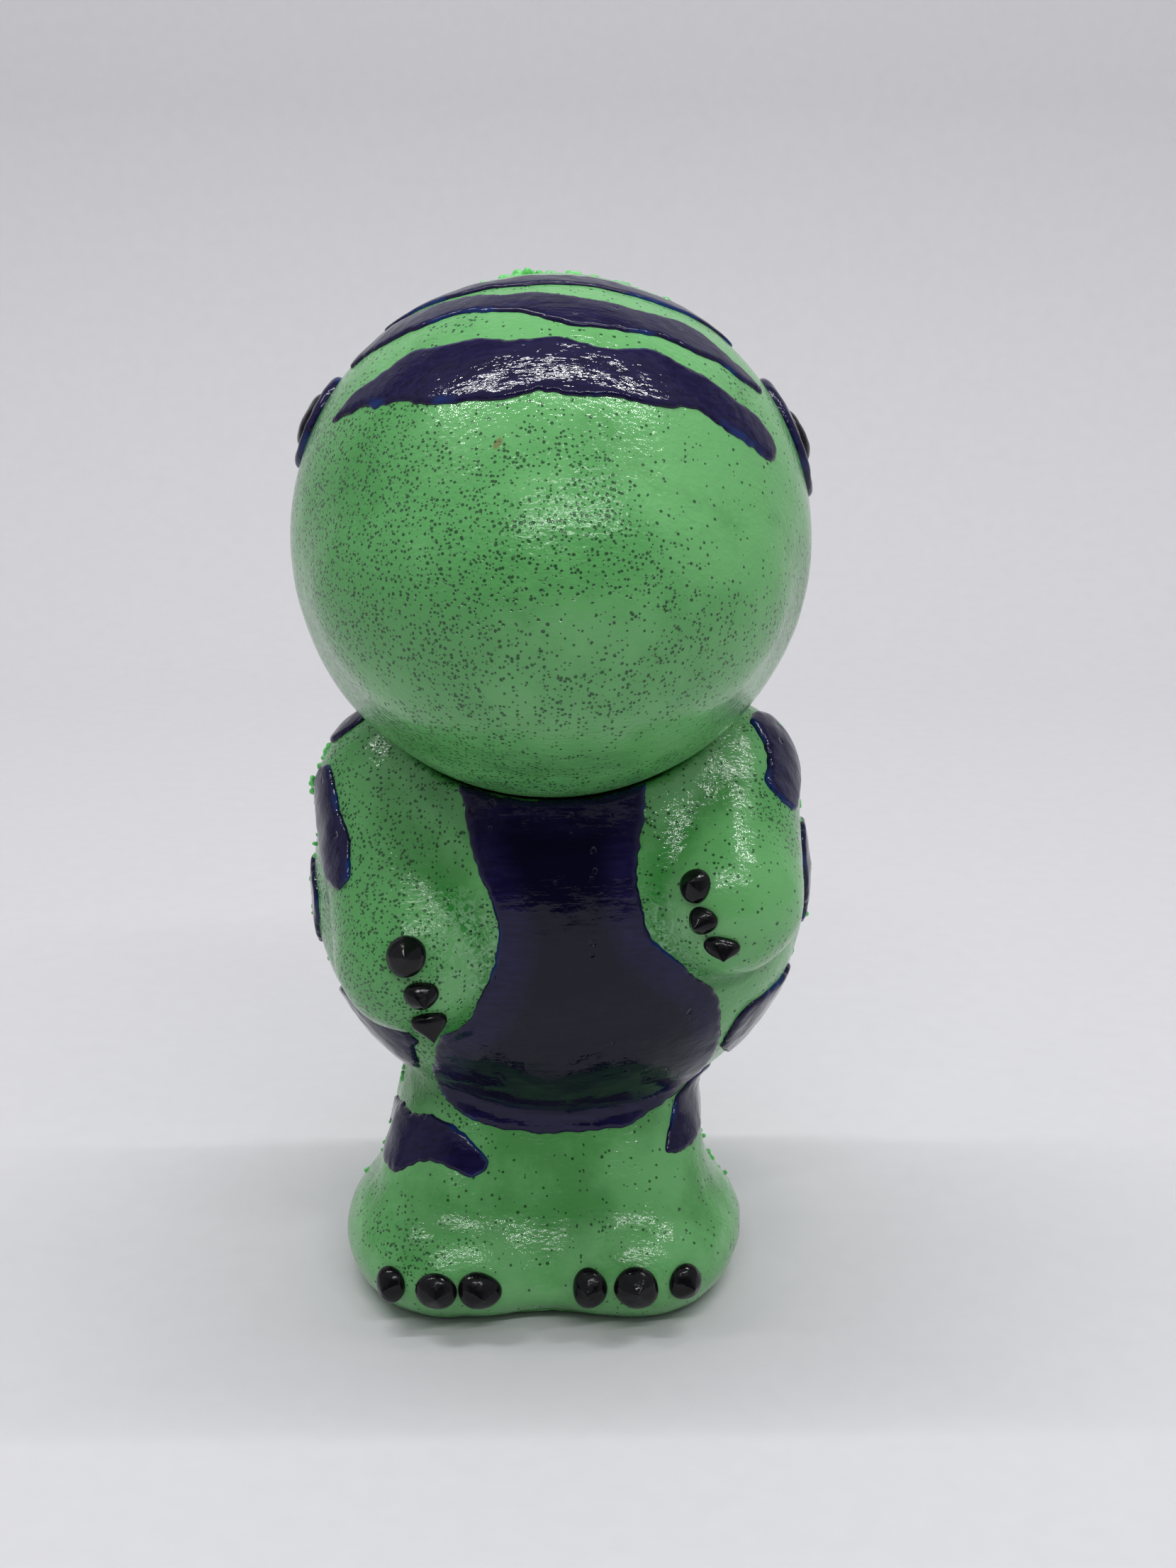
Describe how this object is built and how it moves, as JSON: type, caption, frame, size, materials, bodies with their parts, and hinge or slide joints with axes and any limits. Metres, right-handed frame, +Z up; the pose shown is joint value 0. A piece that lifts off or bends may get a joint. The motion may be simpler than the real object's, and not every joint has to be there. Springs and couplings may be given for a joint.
{
  "type": "vinyl toy dinosaur figurine",
  "caption": "Standing dinosaur figurine with a big round head that turns on its neck, short arms, merged feet, raised claw drops, side eyes and painted stripes and spots.",
  "frame": {"origin": "on the floor plane, in the flat sole, below the middle of the toy", "axes": "+Z up, the toy looks along -Y, its left hand is on the +X side"},
  "size_m": [0.0515, 0.0652, 0.1037],
  "materials": {
    "skin": "gloss",
    "marking": "gloss",
    "claw": "gloss",
    "pupil": "gloss",
    "swivel": "matte"
  },
  "bodies": {
    "torso": {"belly_patch": "marking", "left_back_spot": "marking", "left_flank_spot": "marking", "left_foot_claw_inner": "claw", "left_foot_claw_middle": "claw", "left_foot_claw_outer": "claw", "left_hand_claw_bottom": "claw", "left_hand_claw_middle": "claw", "left_hand_claw_top": "claw", "left_hip_spot": "marking", "left_shin_patch": "marking", "left_shoulder_spot": "marking", "neck_swivel": "swivel", "right_arm_spot": "marking", "right_back_spot": "marking", "right_flank_spot": "marking", "right_foot_claw_inner": "claw", "right_foot_claw_middle": "claw", "right_foot_claw_outer": "claw", "right_hand_claw_bottom": "claw", "right_hand_claw_middle": "claw", "right_hand_claw_top": "claw", "right_hip_spot": "marking", "right_shin_patch": "marking", "right_shoulder_spot": "marking", "torso_back_shell": "skin", "torso_front_shell": "skin"},
    "head": {"head_back_shell": "skin", "head_front_shell": "skin", "head_stripe_crown": "marking", "head_stripe_front": "marking", "head_stripe_middle": "marking", "head_stripe_nape": "marking", "left_eye": "marking", "left_pupil": "pupil", "right_eye": "marking", "right_pupil": "pupil"}
  },
  "joints": [
    {"name": "head_turn", "type": "hinge", "parent": "torso", "child": "head", "pos_m": [0, -0.007, 0.0788], "axis": [0, -0.2588, 0.9659], "continuous": true}
  ]
}
